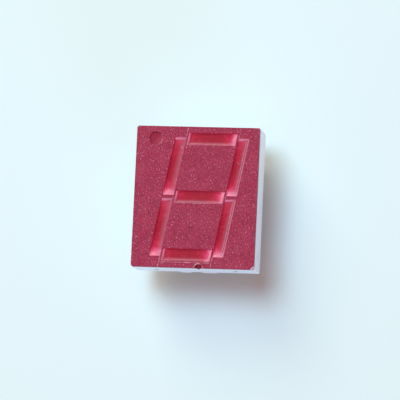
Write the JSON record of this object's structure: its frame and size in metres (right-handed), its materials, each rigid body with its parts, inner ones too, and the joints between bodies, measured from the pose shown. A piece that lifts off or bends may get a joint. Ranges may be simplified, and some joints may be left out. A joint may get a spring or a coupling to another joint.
{
  "type": "seven-segment led display",
  "caption": "Single-digit seven-segment display with a red grained face, recessed slanted segments, white reflector housing and two rows of leads.",
  "frame": {"origin": "plane of the lead tips, under the middle of the body", "axes": "+Y is the top of the digit as it is read, +Z is the way the face looks, +X is to the reader's right"},
  "size_m": [0.0176, 0.0202, 0.011],
  "materials": {
    "red_plate": "tinted red, fine spark-eroded grain, glossy windows",
    "white_housing": "white moulded, satin",
    "resin": "cast epoxy, cloudy",
    "tinned_lead": "stamped and tinned, dull",
    "chip": "sawn semiconductor",
    "gold_wire": "drawn gold"
  },
  "bodies": {
    "root": {"front_plate": "red_plate", "reflector_housing": "white_housing", "resin_casting": "resin", "common_lead": "tinned_lead", "lead_a": "tinned_lead", "lead_b": "tinned_lead", "lead_c": "tinned_lead", "lead_d": "tinned_lead", "lead_e": "tinned_lead", "lead_f": "tinned_lead", "lead_g": "tinned_lead", "lead_dp": "tinned_lead", "chip_a": "chip", "chip_b": "chip", "chip_c": "chip", "chip_d": "chip", "chip_e": "chip", "chip_f": "chip", "chip_g": "chip", "chip_dp": "chip", "bond_wire_a": "gold_wire", "bond_wire_b": "gold_wire", "bond_wire_c": "gold_wire", "bond_wire_d": "gold_wire", "bond_wire_e": "gold_wire", "bond_wire_f": "gold_wire", "bond_wire_g": "gold_wire", "bond_wire_dp": "gold_wire"}
  },
  "joints": []
}
